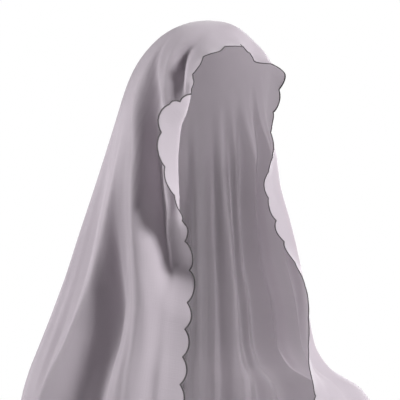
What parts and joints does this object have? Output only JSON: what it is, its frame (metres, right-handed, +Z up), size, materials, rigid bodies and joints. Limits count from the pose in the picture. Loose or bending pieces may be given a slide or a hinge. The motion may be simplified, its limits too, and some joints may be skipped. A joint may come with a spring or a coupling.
{
  "type": "chiffon hijab",
  "caption": "Sheer rectangular chiffon head veil with a scalloped, overlock-stitched edge, draped open over the crown and falling in soft folds to the chest and back.",
  "frame": {"origin": "the seat on the crown: the point on the inner side of the cloth that rests on the top of the wearer's head", "axes": "+Z up, -Y the way the wearer faces, +X the wearer's left"},
  "size_m": [0.5798, 0.3321, 0.9862],
  "materials": {
    "chiffon": "sheer crinkle-free chiffon, matt, grey mauve",
    "edging_thread": "overlock thread, matt, dark grey"
  },
  "bodies": {
    "root": {"chiffon_panel": "chiffon", "scallop_edging": "edging_thread"}
  },
  "joints": []
}
